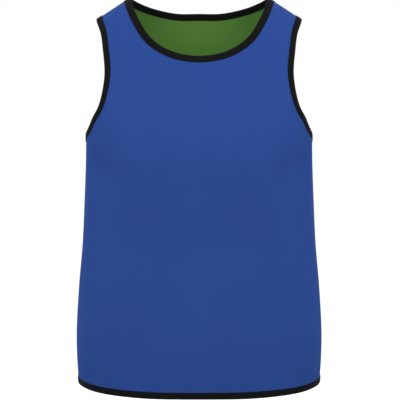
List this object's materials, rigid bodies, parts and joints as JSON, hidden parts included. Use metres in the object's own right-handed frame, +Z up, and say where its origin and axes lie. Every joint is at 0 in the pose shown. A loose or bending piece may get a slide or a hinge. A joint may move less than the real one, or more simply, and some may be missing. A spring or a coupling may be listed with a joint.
{
  "type": "mesh training bib",
  "caption": "Sleeveless reversible mesh training bib, blue outside and green inside, bound in black at neck, armholes and hem, in its filled-out worn form.",
  "frame": {"origin": "midway between the two neck points, at the top of the shoulder straps, where the wearer's shoulders hold the bib", "axes": "+Z up, +X to the right seen from the front, the front faces -Y"},
  "size_m": [0.441, 0.2465, 0.6923],
  "materials": {
    "blue_mesh": "fine polyester mesh knit, soft sheen",
    "green_mesh": "fine polyester mesh knit, matt",
    "black_binding": "folded woven binding tape, matt"
  },
  "bodies": {
    "root": {"front_outer": "blue_mesh", "back_outer": "blue_mesh", "front_inner": "green_mesh", "back_inner": "green_mesh", "neck_binding": "black_binding", "armhole_binding_left": "black_binding", "armhole_binding_right": "black_binding", "hem_binding": "black_binding"}
  },
  "joints": []
}
